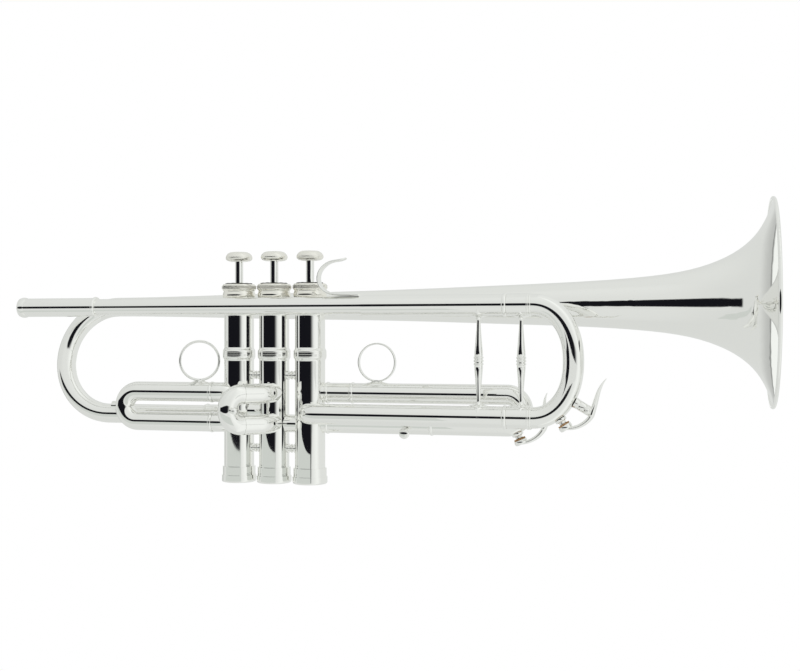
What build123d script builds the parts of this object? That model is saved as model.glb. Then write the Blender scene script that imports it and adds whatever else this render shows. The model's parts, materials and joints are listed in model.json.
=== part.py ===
from build123d import *
import os
from math import cos, radians, sin, sqrt

# A piston-valve trumpet in millimetres. The origin is on the leadpipe's axis at the mouth of the
# mouthpiece receiver; +X runs towards the bell, +Z up to the buttons, +Y to the player's left.

os.makedirs("parts", exist_ok=True)

# ---- Driving dimensions -------------------------------------------------------------------------
overall_length = 482.0
bell_rim_radius = 63.5
bell_throat_radius = 6.4
bell_wall = 0.5
rim_bead_radius = 1.15
bow_centre_x = 52.7
slide_fit = 0.05                     # radial running clearance of every slide
seam_gap = 0.3                       # between the ends of a fixed and a moving tube when pushed in

main_spacing = 67.6                  # leadpipe axis down to the return pipe's axis
main_tube_radius = 6.05              # the tuning slide's inner tubes
main_tube_wall = 0.4
sleeve_wall = 0.4
sleeve_start = 237.0
sleeve_end = 326.6
crook_step = 0.35                    # the crook's tube over the tuning slide's tubes
crook_wall = 0.6
ferrule_wall = 0.4
crook_bend = 24.5
crook_reach = 39.4                   # from the sleeves' ends to the crook's apex

receiver_length = 56.0
socket_radius = 5.40                 # straight stand-in for the tapered socket
socket_depth = 25.0
receiver_wall = 0.7
leadpipe_small_radius = 5.3          # outside, at the receiver
leadpipe_small_bore = 4.4
leadpipe_root_wall = 0.55            # of the leadpipe's end inside the receiver
leadpipe_wall = 0.3                  # at the main slide

piston_radius = 8.40
piston_fit = 0.03
casing_wall = 1.27
casing_gaps = (4.8, 4.9)             # between valves 1-2 and 2-3
first_valve_x = 148.5
leadpipe_gap = 0.9                   # between the leadpipe and the casings
bell_gap = 10.8                      # between the casings and the bell's axis
casing_top = 12.0
casing_bottom = -110.0
stroke = 14.0
stem_radius = 2.65

leg_z = (-55.0, -74.3)               # upper and lower legs of the three valve slides
leg_tube_radius = 5.8
leg_wall = 0.4
leg_sleeve_wall = 0.45
first_crook_x = 81.3
second_heading = 226.0               # degrees, where the second slide pulls out to
second_sleeve_length = 16.5

link_z = (-67.0, -75.0)              # knuckles between valves 1-2 and 2-3
drain_bore = 1.3
drain_reach = 14.0

# ---- Values worked out from them ----------------------------------------------------------------
main_tube_bore = main_tube_radius - main_tube_wall
main_sleeve_bore = main_tube_radius + slide_fit
main_sleeve_radius = main_sleeve_bore + sleeve_wall
crook_radius = main_tube_radius + crook_step
crook_bore = crook_radius - crook_wall
ferrule_radius = crook_radius + ferrule_wall
crook_apex_x = sleeve_end + crook_reach
crook_corner_x = crook_apex_x - crook_bend
return_z = -main_spacing
ferrule_start = sleeve_end + seam_gap
ferrule_end = crook_corner_x
butt_x = ferrule_start + 8.0         # where the tuning slide's tubes butt inside their ferrules

leadpipe_radius = (leadpipe_small_radius, main_tube_radius - 0.15)
leadpipe_bore = (leadpipe_small_bore, leadpipe_radius[1] - leadpipe_wall)
leadpipe_root_radius = leadpipe_small_bore + leadpipe_root_wall
receiver_radius = socket_radius + receiver_wall

casing_bore = piston_radius + piston_fit
casing_radius = casing_bore + casing_wall
second_valve_x = first_valve_x + 2 * casing_radius + casing_gaps[0]
third_valve_x = second_valve_x + 2 * casing_radius + casing_gaps[1]
valve_x = (first_valve_x, second_valve_x, third_valve_x)
valve_y = leadpipe_radius[1] + leadpipe_gap + casing_radius
first_wall_x = first_valve_x - casing_radius
third_wall_x = third_valve_x + casing_radius
return_port_x = third_valve_x + 2.5
bell_axis = (valve_y + casing_radius + bell_gap, 1.0)      # y and z of the bell's axis
tail_axis = (valve_y + 7.0, -71.0)   # y and z where the bell's tail comes back to the first valve
tail_end_x = first_wall_x - 10.8

leg_bore = leg_tube_radius - leg_wall
leg_sleeve_bore = leg_tube_radius + slide_fit
leg_sleeve_radius = leg_sleeve_bore + leg_sleeve_wall
leg_bend = (leg_z[0] - leg_z[1]) / 2
leg_mid_z = (leg_z[0] + leg_z[1]) / 2
first_leg_y = valve_y - 8.5
first_seam_x = first_wall_x - 4.1
second_leg_x = second_valve_x + 1.3
second_corner_y = valve_y - 17.5
third_leg_y = valve_y + 1.5
third_seam_x = (third_wall_x + 16.9, third_wall_x + 68.3)
third_crook_x = third_wall_x + 117.3
low_end = (Align.CENTER, Align.CENTER, Align.MIN)


# ---- Helpers ------------------------------------------------------------------------------------
def side_plane(origin):
    """An upright sketch plane seen from the player's right: x runs along X and y along Z."""
    return Plane(origin=origin, x_dir=(1, 0, 0), z_dir=(0, -1, 0))


def bent_tube(points, bend, outer, inner=0.0):
    """A tube, or a bar when inner is 0, along straight runs joined by tangent arcs."""
    with BuildPart() as tube:
        with BuildLine() as route:
            if len(points) == 2:
                Line(*points)
            else:
                FilletPolyline(*points, radius=bend)
        start = route.line @ 0
        with BuildSketch(Plane(origin=start, z_dir=route.line % 0)):
            Circle(outer)
            if inner:
                Circle(inner, mode=Mode.SUBTRACT)
        sweep(path=route.line)
    return tube.part


def bow(centre, outward, across, bend, outer, inner):
    """A half-circle return bend. outward points at its apex, across from its end to its start."""
    plane = Plane(origin=centre, x_dir=outward, z_dir=Vector(*outward).cross(Vector(*across)))
    with BuildPart() as tube:
        with BuildLine(plane) as route:
            CenterArc((0, 0), bend, 90, -180)
        with BuildSketch(Plane(origin=route.line @ 0, z_dir=route.line % 0)):
            Circle(outer)
            Circle(inner, mode=Mode.SUBTRACT)
        sweep(path=route.line)
    return tube.part


def rod(start, end, radius, inner=0.0):
    """A straight round rod or tube between two points."""
    run = Vector(*end) - Vector(*start)
    with BuildPart() as piece:
        with BuildSketch(Plane(origin=start, z_dir=run)):
            Circle(radius)
            if inner:
                Circle(inner, mode=Mode.SUBTRACT)
        extrude(amount=run.length)
    return piece.part


def bead(centre, axis, radius, width, height):
    """A half-round ring standing out of a tube of the given radius."""
    plane = Plane(origin=centre, z_dir=axis)
    with BuildPart() as ring:
        with BuildSketch(Plane(origin=centre, x_dir=plane.x_dir, z_dir=plane.y_dir)):
            with BuildLine():
                arc = ThreePointArc((radius, -width / 2), (radius + height, 0), (radius, width / 2))
                Line(arc @ 1, arc @ 0)
            make_face()
        revolve(axis=Axis(centre, axis))
    return ring.part


def diamond_saddle(x, y, z, up, radius, width, thickness):
    """A diamond foot curved round a tube that runs along X, on its upper (up=1) or lower side."""
    with BuildPart() as foot:
        with BuildSketch(Plane.XY.offset(z)):
            with Locations(Location((x, y), 45)):
                Rectangle(width / sqrt(2), width / sqrt(2))
        extrude(amount=up * (radius + 2 * thickness))
        with Locations(Location((x, y, z), (0, 90, 0))):
            Cylinder(radius + thickness, 2 * width, mode=Mode.INTERSECT)
            Cylinder(radius, 2 * width, mode=Mode.SUBTRACT)
    return foot.part


def turned_post(x, y, bottom, top, neck, belly):
    """A turned pillar along Z, slim at its ends, with three beads at its middle."""
    middle = (bottom + top) / 2
    neck_length = 11.0
    bead_width, bead_height = 1.5, 0.5
    half_beads = 1.5 * bead_width
    with BuildPart() as post:
        with BuildSketch(side_plane((x, y, 0))):
            with BuildLine():
                low = Polyline(
                    (0, bottom),
                    (neck, bottom),
                    (neck, bottom + neck_length),
                    (belly, middle - half_beads),
                )
                end = low @ 1
                for number in range(3):
                    z0 = middle - half_beads + number * bead_width
                    tip = (belly + bead_height, z0 + bead_width / 2)
                    arc = ThreePointArc(end, tip, (belly, z0 + bead_width))
                    end = arc @ 1
                Polyline(end, (neck, top - neck_length), (neck, top), (0, top), (0, bottom))
            make_face()
        revolve(axis=Axis((x, y, 0), (0, 0, 1)))
    return post.part


def port_plane(x, port):
    """The plane of a valve port: at the valve's axis plus its sideways offset, facing out."""
    heading, offset, z = port
    out = Vector(cos(radians(heading)), sin(radians(heading)), 0)
    side = Vector(-out.Y, out.X, 0)
    return Plane(origin=Vector(x, valve_y, z) + side * offset, z_dir=out)


def passage(x, start, end, raised, radius):
    """A passage through a piston between two ports: straight in, across, and straight out."""
    entry, leave = port_plane(x, start), port_plane(x, end)
    lift = Vector(0, 0, raised)
    reach, elbow = piston_radius + 4.0, 4.5
    points = [
        entry.origin + entry.z_dir * reach + lift,
        entry.origin + entry.z_dir * elbow + lift,
        leave.origin + leave.z_dir * elbow + lift,
        leave.origin + leave.z_dir * reach + lift,
    ]
    with BuildPart() as way:
        for a, b in zip(points, points[1:]):
            add(rod(a, b, radius))
        with Locations(*points[1:3]):
            Sphere(radius)
    return way.part


def drain(y, bend_centre, bend, angle):
    """The drain hole's drill, out of a bend's centre line at an angle from -Z towards +X."""
    out = Vector(sin(radians(angle)), 0, -cos(radians(angle)))
    middle = Vector(bend_centre[0], y, bend_centre[1])
    return rod(middle + out * bend, middle + out * (bend + drain_reach), drain_bore)


# ---- Mouthpiece receiver ------------------------------------------------------------------------
receiver_lip = 0.6                   # how far the mouth's rounded lip stands out
with BuildPart() as mouthpiece_receiver:
    with Locations(Location((0, 0, 0), (0, 90, 0))):
        Cylinder(receiver_radius, receiver_length, align=low_end)
    add(bead((2.4, 0, 0), (1, 0, 0), receiver_radius, 4.6, receiver_lip))
    add(bead((receiver_length - 1.2, 0, 0), (1, 0, 0), receiver_radius, 2.2, 0.7))
    with Locations(Location((0, 0, 0), (0, 90, 0))):
        Cylinder(socket_radius, socket_depth, align=low_end, mode=Mode.SUBTRACT)
    with Locations(Location((socket_depth, 0, 0), (0, 90, 0))):
        Cylinder(leadpipe_root_radius, receiver_length, align=low_end, mode=Mode.SUBTRACT)
mouthpiece_receiver.part.label = "mouthpiece_receiver"
export_step(mouthpiece_receiver.part, "parts/mouthpiece_receiver.step")

# ---- Leadpipe: a slowly widening tube from the receiver to the main slide -----------------------
leadpipe_start = socket_depth + 2.0
leadpipe_end = sleeve_start + 7.0
with BuildPart() as leadpipe:
    with BuildSketch(side_plane((0, 0, 0))):
        with BuildLine():
            Polyline(
                (leadpipe_start, leadpipe_bore[0]),
                (leadpipe_start, leadpipe_root_radius),
                (receiver_length, leadpipe_root_radius),
                (receiver_length, leadpipe_radius[0]),
                (sleeve_start, leadpipe_radius[1]),
                (leadpipe_end, leadpipe_radius[1]),
                (leadpipe_end, leadpipe_bore[1]),
                close=True,
            )
        make_face()
    revolve(axis=Axis.X)
leadpipe.part.label = "leadpipe"
export_step(leadpipe.part, "parts/leadpipe.step")

# ---- Main slide sleeves: the upper one carries on from the leadpipe, the lower is the return pipe
with BuildPart() as upper_slide_sleeve:
    add(rod((sleeve_start, 0, 0), (sleeve_end, 0, 0), main_sleeve_radius, leadpipe_radius[1]))
    add(bead((sleeve_end - 1.4, 0, 0), (1, 0, 0), main_sleeve_radius, 2.6, 0.65))
    with Locations(Location((leadpipe_end, 0, 0), (0, 90, 0))):
        Cylinder(main_sleeve_bore, overall_length, align=low_end, mode=Mode.SUBTRACT)
upper_slide_sleeve.part.label = "upper_slide_sleeve"
export_step(upper_slide_sleeve.part, "parts/upper_slide_sleeve.step")

return_route = [
    (return_port_x, valve_y - 2, return_z),
    (return_port_x, 0, return_z),
    (return_port_x + 20, 0, return_z),
]
with BuildPart() as return_pipe:
    add(bent_tube(return_route, main_sleeve_radius + 0.4, main_sleeve_radius, main_sleeve_bore))
    add(rod(return_route[2], (sleeve_end, 0, return_z), main_sleeve_radius, main_sleeve_bore))
    add(bead((sleeve_end - 1.4, 0, return_z), (1, 0, 0), main_sleeve_radius, 2.6, 0.65))
    with Locations((valve_x[2], valve_y, return_z)):
        Cylinder(casing_radius, 4 * main_sleeve_radius, mode=Mode.SUBTRACT)
return_pipe.part.label = "return_pipe"
export_step(return_pipe.part, "parts/return_pipe.step")

# ---- Valve ports: heading in degrees from +X, sideways offset to the heading's left, and height -
tail_heading = 150.3
valve_ports = (
    {
        "upper": (225, 0, leg_z[0]),
        "lower": (225, 0, leg_z[1]),
        "inlet": (0, 0, link_z[0]),
        "outlet": (tail_heading, 0, tail_axis[1]),
    },
    {
        "upper": (270, second_leg_x - valve_x[1], leg_z[0]),
        "lower": (270, second_leg_x - valve_x[1], leg_z[1]),
        "inlet": (0, 0, link_z[1]),
        "outlet": (180, 0, link_z[0]),
    },
    {
        "upper": (0, third_leg_y - valve_y, leg_z[0]),
        "lower": (0, third_leg_y - valve_y, leg_z[1]),
        "inlet": (270, return_port_x - valve_x[2], return_z),
        "outlet": (180, 0, link_z[1]),
    },
)
# Which slide leg the pressed piston joins to the inlet; the other leg goes on to the outlet.
inlet_leg = ("upper", "lower", "upper")

# ---- Valve casings with their bands, ports and guide keyways ------------------------------------
port_radius = 5.0
band_z = (-28.5, -32.4)
band_width = 2.6
keyway_width = 3.2
keyway_radius = casing_bore + 0.77
guide_z = -22.0
guide_thickness = 1.1
casing_length = casing_top - casing_bottom
for number, (x, ports) in enumerate(zip(valve_x, valve_ports), start=1):
    with BuildPart() as casing:
        with Locations((x, valve_y, casing_bottom)):
            Cylinder(casing_radius, casing_length, align=low_end)
        for z in band_z:
            add(bead((x, valve_y, z), (0, 0, 1), casing_radius, band_width, 0.8))
        with Locations((x, valve_y, casing_bottom)):
            Cylinder(casing_bore, casing_length, align=low_end, mode=Mode.SUBTRACT)
        with Locations((x, valve_y, guide_z)):
            Box(keyway_width, 2 * keyway_radius, casing_top - guide_z, align=low_end, mode=Mode.SUBTRACT)
        for port in ports.values():
            with Locations(port_plane(x, port).location):
                Cylinder(port_radius, 2 * casing_radius, align=low_end, mode=Mode.SUBTRACT)
    casing.part.label = f"valve_casing_{number}"
    export_step(casing.part, f"parts/valve_casing_{number}.step")

# ---- Knuckles and turned spools that tie the casings together -----------------------------------
knuckle_radius = port_radius + 0.7
spool_z = (-44.0, -91.0)
spool_radius, spool_foot_radius, spool_foot = 1.8, 3.0, 0.55
with BuildPart() as casing_links:
    for x0, x1, link in zip(valve_x, valve_x[1:], link_z):
        middle = (x0 + x1) / 2
        add(rod((x0, valve_y, link), (x1, valve_y, link), knuckle_radius, port_radius))
        for z in spool_z:
            add(rod((x0, valve_y, z), (x1, valve_y, z), spool_radius))
            add(bead((middle, valve_y, z), (1, 0, 0), spool_radius, 1.6, 1.0))
            for side in (-1, 1):
                foot_x = middle + side * ((x1 - x0) / 2 - casing_radius)
                ends = [(foot_x + step, valve_y, z) for step in (-spool_foot, spool_foot)]
                add(rod(*ends, spool_foot_radius))
    for x in valve_x:
        with Locations((x, valve_y, leg_mid_z)):
            Cylinder(casing_radius, 80, mode=Mode.SUBTRACT)
casing_links.part.label = "casing_links"
export_step(casing_links.part, "parts/casing_links.step")

# ---- Caps, guides and felts ---------------------------------------------------------------------
cap_thread_radius = casing_radius + 0.02
cap_radius = casing_radius + 0.9
cap_rim_radius = cap_radius + 0.45
top_cap_top = casing_top + 2.8
top_cap_rim = casing_top - 0.8
top_cap_bottom = casing_top - 6.3
stem_hole_radius = stem_radius + 0.35
felt_thickness = 0.5
cap_felt_radius = cap_radius - 2.2
for number, x in enumerate(valve_x, start=1):
    with BuildPart() as top_cap:
        with Locations((x, valve_y, top_cap_bottom)):
            Cylinder(cap_radius, top_cap_rim - top_cap_bottom, align=low_end)
        with Locations((x, valve_y, top_cap_rim)):
            Cylinder(cap_rim_radius, top_cap_top - top_cap_rim, align=low_end)
        fillet(top_cap.edges().group_by(Axis.Z)[-1], 0.9)
        with Locations((x, valve_y, top_cap_bottom)):
            Cylinder(cap_thread_radius, casing_top - top_cap_bottom, align=low_end, mode=Mode.SUBTRACT)
            Cylinder(stem_hole_radius, 20, align=low_end, mode=Mode.SUBTRACT)
    top_cap.part.label = f"top_cap_{number}"
    export_step(top_cap.part, f"parts/top_cap_{number}.step")

bottom_cap_top = casing_bottom + 7.0
bottom_cap_rim = casing_bottom + 1.5
bottom_cap_bottom = casing_bottom - 3.2
bottom_cap_floor = 1.4
drain_radius = 1.6
for number, x in enumerate(valve_x, start=1):
    with BuildPart() as bottom_cap:
        with Locations((x, valve_y, bottom_cap_bottom)):
            Cylinder(cap_rim_radius + 0.1, bottom_cap_rim - bottom_cap_bottom, align=low_end)
        with Locations((x, valve_y, bottom_cap_rim)):
            Cylinder(cap_radius, bottom_cap_top - bottom_cap_rim, align=low_end)
        fillet(bottom_cap.edges().group_by(Axis.Z)[0], 1.3)
        with Locations((x, valve_y, casing_bottom)):
            Cylinder(cap_thread_radius, 20, align=low_end, mode=Mode.SUBTRACT)
        with Locations((x, valve_y, bottom_cap_bottom + bottom_cap_floor)):
            Cylinder(casing_bore, 20, align=low_end, mode=Mode.SUBTRACT)
        with Locations((x, valve_y, bottom_cap_bottom)):
            Cylinder(drain_radius, 20, align=low_end, mode=Mode.SUBTRACT)
    bottom_cap.part.label = f"bottom_cap_{number}"
    export_step(bottom_cap.part, f"parts/bottom_cap_{number}.step")

barrel_radius = piston_radius - 0.3
barrel_bore = barrel_radius - 0.8
guide_radius = barrel_bore - 0.4
guide_tab_width = keyway_width - 0.2
with BuildPart() as valve_guides:
    for x in valve_x:
        with Locations((x, valve_y, guide_z)):
            Cylinder(guide_radius, guide_thickness, align=low_end)
            Box(guide_tab_width, 2 * keyway_radius - 0.2, guide_thickness, align=low_end)
            Cylinder(stem_radius, guide_thickness, align=low_end, mode=Mode.SUBTRACT)
valve_guides.part.label = "valve_guides"
export_step(valve_guides.part, "parts/valve_guides.step")

with BuildPart() as cap_felts:
    for x in valve_x:
        with Locations((x, valve_y, top_cap_top)):
            Cylinder(cap_felt_radius, felt_thickness, align=low_end)
            Cylinder(stem_hole_radius, felt_thickness, align=low_end, mode=Mode.SUBTRACT)
cap_felts.part.label = "cap_felts"
export_step(cap_felts.part, "parts/cap_felts.step")

# ---- Pistons with their spring barrels, stems, buttons, stop felts and springs ------------------
passage_bore = 3.9
passage_wall = 0.45
piston_top = -33.0
piston_bottom = leg_z[1] - 9.7
piston_wall = 0.7
barrel_top = casing_top - 2.8
barrel_lid = 1.4
slot_width = 3.5
slot_bottom = guide_z - 0.6
slot_top = guide_z + guide_thickness + stroke + 1.2
stem_thread_radius = 1.9
button_bottom = top_cap_top + felt_thickness + stroke + 0.3
button_height = 6.4
button_radius = 8.7
button_top_radius = button_radius - 2.7
stop_felt_thickness = casing_top - barrel_top - 0.3
spring_wire = 0.45
spring_radius = guide_radius - 0.7
spring_turns = 7
spring_bottom = guide_z + guide_thickness
spring_top = barrel_top - barrel_lid
for number, (x, ports, leg) in enumerate(zip(valve_x, valve_ports, inlet_leg), start=1):
    other_leg = "lower" if leg == "upper" else "upper"
    ways = (("inlet", "outlet", 0), ("inlet", leg, stroke), (other_leg, "outlet", stroke))
    with BuildPart() as piston:
        with Locations((x, valve_y, piston_bottom)):
            Cylinder(piston_radius, piston_top - piston_bottom, align=low_end)
            Cylinder(
                piston_radius - piston_wall,
                piston_top - piston_bottom - piston_wall,
                align=low_end,
                mode=Mode.SUBTRACT,
            )
        for first, last, raised in ways:
            add(passage(x, ports[first], ports[last], raised, passage_bore + passage_wall))
        with Locations((x, valve_y, piston_bottom)):
            Cylinder(piston_radius, piston_top - piston_bottom, align=low_end, mode=Mode.INTERSECT)
        for first, last, raised in ways:
            add(passage(x, ports[first], ports[last], raised, passage_bore), mode=Mode.SUBTRACT)
        with Locations((x, valve_y, piston_top)):
            Cylinder(barrel_radius, barrel_top - piston_top, align=low_end)
            Cylinder(barrel_bore, spring_top - piston_top, align=low_end, mode=Mode.SUBTRACT)
            Cylinder(stem_thread_radius, 60, align=low_end, mode=Mode.SUBTRACT)
        with Locations((x, valve_y, slot_bottom)):
            Box(slot_width, 40, slot_top - slot_bottom, align=low_end, mode=Mode.SUBTRACT)
    piston.part.label = f"piston_{number}"
    export_step(piston.part, f"parts/piston_{number}.step")

    with BuildPart() as stem:
        with Locations((x, valve_y, barrel_top)):
            Cylinder(stem_radius, button_bottom - barrel_top, align=low_end)
        with Locations((x, valve_y, spring_top)):
            Cylinder(stem_thread_radius, button_bottom + 3 - spring_top, align=low_end)
    stem.part.label = f"stem_{number}"
    export_step(stem.part, f"parts/stem_{number}.step")

    with BuildPart() as button:
        with BuildSketch(side_plane((x, valve_y, button_bottom))):
            with BuildLine():
                seat = button_radius - 3.7
                under = Polyline((0, 3), (stem_thread_radius, 3), (stem_thread_radius, 0), (seat, 0))
                lip = ThreePointArc(under @ 1, (button_radius - 0.8, 0.75), (button_radius, 2.3))
                shoulder = (button_radius - 0.6, button_height - 1.8)
                crown = ThreePointArc(lip @ 1, shoulder, (button_top_radius, button_height))
                dish_z = button_height - 0.4
                Polyline(crown @ 1, (button_top_radius - 0.6, dish_z), (0, dish_z), under @ 0)
            make_face()
        revolve(axis=Axis((x, valve_y, 0), (0, 0, 1)))
    button.part.label = f"button_{number}"
    export_step(button.part, f"parts/button_{number}.step")

    with BuildPart() as stop_felt:
        with Locations((x, valve_y, barrel_top)):
            Cylinder(barrel_radius - 0.3, stop_felt_thickness, align=low_end)
            Cylinder(stem_radius, stop_felt_thickness, align=low_end, mode=Mode.SUBTRACT)
    stop_felt.part.label = f"stop_felt_{number}"
    export_step(stop_felt.part, f"parts/stop_felt_{number}.step")

    coil_height = spring_top - spring_bottom - 2 * spring_wire
    with BuildPart() as valve_spring:
        with BuildLine():
            coil = Helix(
                coil_height / spring_turns,
                coil_height,
                spring_radius,
                center=(x, valve_y, spring_bottom + spring_wire),
            )
        with BuildSketch(Plane(origin=coil @ 0, z_dir=coil % 0)):
            Circle(spring_wire)
        sweep(path=coil, is_frenet=True)
    valve_spring.part.label = f"valve_spring_{number}"
    export_step(valve_spring.part, f"parts/valve_spring_{number}.step")

# ---- Bell: throat to rim, its return bow, the rolled rim and the tail that meets valve 1 ---------
# Each station is a share of the bell's length and of its rise from throat to rim.
bell_stations = (
    (0.0, 0.0),
    (0.222, 0.030),
    (0.465, 0.066),
    (0.616, 0.103),
    (0.755, 0.144),
    (0.833, 0.188),
    (0.889, 0.255),
    (0.926, 0.345),
    (0.955, 0.464),
    (0.978, 0.627),
    (0.992, 0.806),
    (1.0, 1.0),
)
mouth_x = overall_length - rim_bead_radius
edge_radius = bell_rim_radius - rim_bead_radius
bell_length = mouth_x - bow_centre_x
bell_rise = edge_radius - bell_throat_radius
bell_origin = (0, bell_axis[0], bell_axis[1])
bell_line = Axis(bell_origin, (1, 0, 0))
bell_outline = [
    (bow_centre_x + along * bell_length, bell_throat_radius + up * bell_rise)
    for along, up in bell_stations
]
inner_stations = 18
with BuildPart() as bell:
    with BuildSketch(side_plane(bell_origin)):
        with BuildLine():
            outside = Spline(*bell_outline, tangents=((1, 0), (0.12, 1)))
            inside_points = []
            for step in range(inner_stations + 1):
                spot = outside @ (step / inner_stations)
                along = outside % (step / inner_stations)
                inside_points.append(spot + Vector(along.Y, -along.X) * bell_wall)
            inside = Spline(*inside_points, tangents=((1, 0), (0.12, 1)))
            Line(outside @ 0, inside @ 0)
            Line(outside @ 1, inside @ 1)
        make_face()
    revolve(axis=bell_line)
bell.part.label = "bell"
export_step(bell.part, "parts/bell.step")

with BuildPart() as bell_rim_wire:
    with Locations(Location((mouth_x, bell_axis[0], bell_axis[1]), (0, 90, 0))):
        Torus(edge_radius, rim_bead_radius)
    add(bell.part, mode=Mode.SUBTRACT)
bell_rim_wire.part.label = "bell_rim_wire"
export_step(bell_rim_wire.part, "parts/bell_rim_wire.step")

bow_rise = Vector(0, bell_axis[0] - tail_axis[0], bell_axis[1] - tail_axis[1])
bow_centre = (
    bow_centre_x,
    (bell_axis[0] + tail_axis[0]) / 2,
    (bell_axis[1] + tail_axis[1]) / 2,
)
bow_bend = bow_rise.length / 2
with BuildPart() as bell_bow:
    add(
        bow(
            bow_centre,
            (-1, 0, 0),
            tuple(bow_rise.normalized()),
            bow_bend,
            bell_throat_radius,
            bell_throat_radius - bell_wall,
        )
    )
    add(
        rod(
            (bow_centre_x, *tail_axis),
            (tail_end_x, *tail_axis),
            bell_throat_radius,
            bell_throat_radius - bell_wall,
        )
    )
bell_bow.part.label = "bell_bow"
export_step(bell_bow.part, "parts/bell_bow.step")

tail_out = Vector(cos(radians(tail_heading)), sin(radians(tail_heading)), 0)
tail_corner_x = valve_x[0] + tail_out.X * (tail_axis[0] - valve_y) / tail_out.Y
tail_radius = bell_throat_radius + 0.55
tail_bore = bell_throat_radius - 1.0
tail_lap = 6.0                       # how far the ferrule runs over the bell's tail
tail_start = (tail_end_x - tail_lap, *tail_axis)
tail_route = [
    tail_start,
    (tail_corner_x, *tail_axis),
    (valve_x[0], valve_y, tail_axis[1]),
]
with BuildPart() as bell_tail_ferrule:
    add(bent_tube(tail_route, 12, tail_radius, tail_bore))
    with Locations(Location(tail_start, (0, 90, 0))):
        Cylinder(bell_throat_radius, tail_lap, align=low_end, mode=Mode.SUBTRACT)
    add(bead((tail_end_x - 4.5, *tail_axis), (1, 0, 0), tail_radius, 1.8, 0.5))
    with Locations((valve_x[0], valve_y, tail_axis[1])):
        Cylinder(casing_radius, 40, mode=Mode.SUBTRACT)
bell_tail_ferrule.part.label = "bell_tail_ferrule"
export_step(bell_tail_ferrule.part, "parts/bell_tail_ferrule.step")

# ---- Braces between leadpipe and bell, and the turned brace between the main sleeves ------------
bell_brace_x = (104.0, 262.0)
bell_brace_radius = 2.2
bell_brace_foot = 5.0
with BuildPart() as bell_braces:
    for x in bell_brace_x:
        add(rod((x, 0, 0), (x, *bell_axis), bell_brace_radius))
        add(rod((x, 0, 0), (x, 8.0, 8.0 * bell_axis[1] / bell_axis[0]), bell_brace_foot))
        near_bell = bell_axis[0] - 10.5
        add(rod((x, near_bell, bell_axis[1]), (x, *bell_axis), bell_brace_foot))
    with Locations(Location((receiver_length, 0, 0), (0, 90, 0))):
        taper = sleeve_start - receiver_length
        Cone(leadpipe_radius[0], leadpipe_radius[1], taper, align=low_end, mode=Mode.SUBTRACT)
    with Locations(Location((bell_brace_x[1], 0, 0), (0, 90, 0))):
        Cylinder(main_sleeve_radius, 40, mode=Mode.SUBTRACT)
    with BuildSketch(side_plane(bell_origin), mode=Mode.PRIVATE) as bell_filling:
        with BuildLine():
            Polyline(outside @ 0, (bow_centre_x, 0), (overall_length, 0), outside @ 1)
            Spline(*bell_outline, tangents=((1, 0), (0.12, 1)))
        make_face()
    revolve(bell_filling.sketch, axis=bell_line, mode=Mode.SUBTRACT)
bell_braces.part.label = "bell_braces"
export_step(bell_braces.part, "parts/bell_braces.step")

brace_neck, brace_belly = 1.3, 2.6
brace_foot_width, brace_foot_thickness = 11.5, 0.9
sleeve_brace_x = sleeve_end - 17.3
with BuildPart() as sleeve_brace:
    add(turned_post(sleeve_brace_x, 0, return_z, 0, brace_neck, brace_belly))
    for z in (0, return_z):
        with Locations(Location((sleeve_brace_x, 0, z), (0, 90, 0))):
            Cylinder(main_sleeve_radius, 40, mode=Mode.SUBTRACT)
    for z, up in ((0, -1), (return_z, 1)):
        foot = diamond_saddle(
            sleeve_brace_x, 0, z, up, main_sleeve_radius, brace_foot_width, brace_foot_thickness
        )
        add(foot)
sleeve_brace.part.label = "sleeve_brace"
export_step(sleeve_brace.part, "parts/sleeve_brace.step")

# ---- Pinky hook: a bent strip standing on the leadpipe ------------------------------------------
hook_x = 221.0
hook_width = 8.0
hook_thickness = 1.5
hook_saddle_length = 22.0
with BuildPart() as pinky_hook:
    with BuildSketch(side_plane((hook_x, 0, 0))):
        with BuildLine():
            hook_curve = ((0.5, 7.0), (-7.5, 9.6), (-11.6, 17.4), (-7.0, 25.0), (5.2, 29.4))
            rise = Spline(*hook_curve, tangents=((-1, 0), (1, 0.55)))
            Line((15.0, 7.0), rise @ 0)
        trace(line_width=hook_thickness)
    extrude(amount=hook_width / 2, both=True)
    fillet(pinky_hook.edges().filter_by(Axis.Y, reverse=True).sort_by(Axis.Z)[-1], 0.3)
    with Locations(Location((hook_x + 4, 0, 0), (0, 90, 0))):
        Cylinder(leadpipe_radius[1] + 0.9, hook_saddle_length)
    with Locations((hook_x + 4, 0, 17.5)):
        Box(60, hook_width, 30, mode=Mode.INTERSECT)
    with Locations(Location((0, 0, 0), (0, 90, 0))):
        Cylinder(leadpipe_radius[1], overall_length, align=low_end, mode=Mode.SUBTRACT)
pinky_hook.part.label = "pinky_hook"
export_step(pinky_hook.part, "parts/pinky_hook.step")

# ---- Tuning slide: two tubes, their ferrules, the D-shaped crook and a turned brace --------------
tube_inner_end = leadpipe_end + 2.0
with BuildPart() as tuning_slide_tubes:
    add(rod((tube_inner_end, 0, 0), (butt_x, 0, 0), main_tube_radius, main_tube_bore))
    add(rod((tube_inner_end, 0, return_z), (butt_x, 0, return_z), main_tube_radius, main_tube_bore))
tuning_slide_tubes.part.label = "tuning_slide_tubes"
export_step(tuning_slide_tubes.part, "parts/tuning_slide_tubes.step")

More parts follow.
